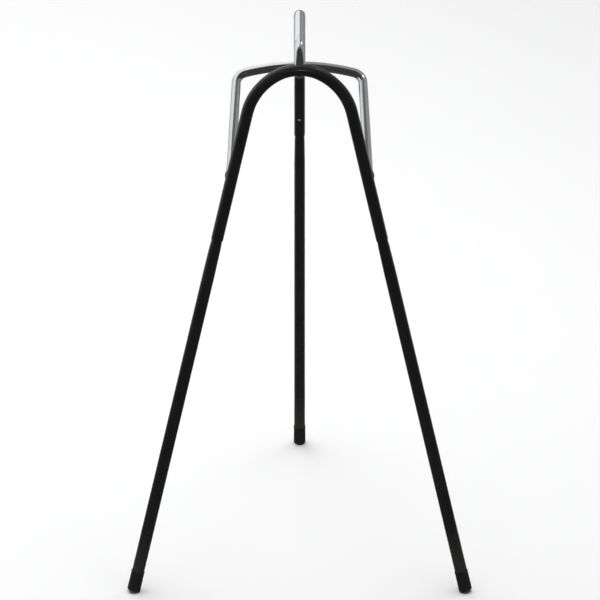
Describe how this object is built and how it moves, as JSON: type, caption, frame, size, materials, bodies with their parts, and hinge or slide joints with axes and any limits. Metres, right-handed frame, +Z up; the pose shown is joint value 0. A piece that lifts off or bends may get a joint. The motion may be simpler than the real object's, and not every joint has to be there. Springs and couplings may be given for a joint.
{
  "type": "three-legged tube stand",
  "caption": "Free-standing three-legged tube stand: black inverted-U front arch, single rear leg, chrome gooseneck and a chrome brace hoop, on rubber foot caps.",
  "frame": {"origin": "on the ground, midway between the feet in X and in the middle of the stand's depth in Y", "axes": "+Z up, +Y from the front arch towards the rear leg, +X to the right seen from the front"},
  "size_m": [0.7031, 0.6259, 1.1688],
  "materials": {
    "black_coat": "gloss",
    "chrome": "polished",
    "rubber": "matt",
    "zinc_steel": "satin"
  },
  "bodies": {
    "frame": {"front_arch": "black_coat", "front_leg_left": "black_coat", "front_leg_right": "black_coat", "rear_sleeve": "black_coat", "rear_leg": "black_coat", "neck_tube": "chrome", "rail_left": "chrome", "rail_right": "chrome", "cross_arc": "chrome", "foot_cap_left": "rubber", "foot_cap_right": "rubber", "foot_cap_rear": "rubber", "spring_clip_left": "zinc_steel", "spring_clip_right": "zinc_steel", "spring_clip_rear": "zinc_steel", "crown_screw": "zinc_steel", "neck_plug": "zinc_steel", "rail_screws": "zinc_steel", "rail_rivet_nuts": "zinc_steel", "arc_screw": "zinc_steel", "arc_rivet_nut": "zinc_steel", "sleeve_rivet": "zinc_steel"},
    "left_button": {"button_left": "chrome"},
    "right_button": {"button_right": "chrome"},
    "rear_button": {"button_rear": "chrome"}
  },
  "joints": [
    {"name": "left_button_press", "type": "slide", "parent": "frame", "child": "left_button", "axis": [0, -0.9863, 0.165], "range_m": [0, 0.004], "stiffness_N_per_m": 2500, "springref_m": -0.001},
    {"name": "right_button_press", "type": "slide", "parent": "frame", "child": "right_button", "axis": [0, -0.9863, 0.165], "range_m": [0, 0.004], "stiffness_N_per_m": 2500, "springref_m": -0.001},
    {"name": "rear_button_press", "type": "slide", "parent": "frame", "child": "rear_button", "axis": [0, 0.9816, 0.1908], "range_m": [0, 0.004], "stiffness_N_per_m": 2500, "springref_m": -0.001}
  ]
}
